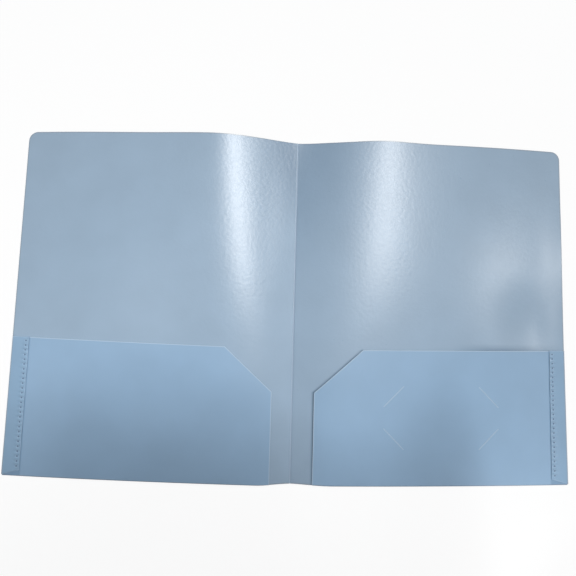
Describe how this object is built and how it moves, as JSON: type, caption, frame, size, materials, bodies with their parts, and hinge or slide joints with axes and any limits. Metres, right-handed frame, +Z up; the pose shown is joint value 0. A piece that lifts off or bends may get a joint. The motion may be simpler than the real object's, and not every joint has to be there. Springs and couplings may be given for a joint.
{
  "type": "two pocket folder",
  "caption": "Letter-size plastic folder with a slant-cornered pocket on each cover, welded side tabs, business card slits and a scored spine that folds shut.",
  "frame": {"origin": "middle of the crease, on the surface that the open folder lies on", "axes": "+X to the right cover's outer edge, +Y along the crease to the top edge, away from the pockets, +Z up out of the inner face"},
  "size_m": [0.4826, 0.2986, 0.0018],
  "materials": {
    "cover_sheet": "satin, finely embossed polypropylene sheet, one layer over the table",
    "pocket_sheet": "the same sheet lying over another layer, which looks bluer",
    "weld": "melted and pressed polypropylene"
  },
  "bodies": {
    "right_half": {"right_cover": "cover_sheet", "right_pocket": "pocket_sheet", "right_bottom_fold": "pocket_sheet", "right_side_fold": "pocket_sheet", "right_side_tab": "pocket_sheet", "right_weld_spots": "weld", "spine_hinge": "cover_sheet"},
    "left_half": {"left_cover": "cover_sheet", "left_pocket": "pocket_sheet", "left_bottom_fold": "pocket_sheet", "left_side_fold": "pocket_sheet", "left_side_tab": "pocket_sheet", "left_weld_spots": "weld"}
  },
  "joints": [
    {"name": "spine_fold", "type": "hinge", "parent": "right_half", "child": "left_half", "pos_m": [0, 0, 0.002], "axis": [0, 1, 0], "range_deg": [0, 180], "deforming": ["spine_hinge"]}
  ]
}
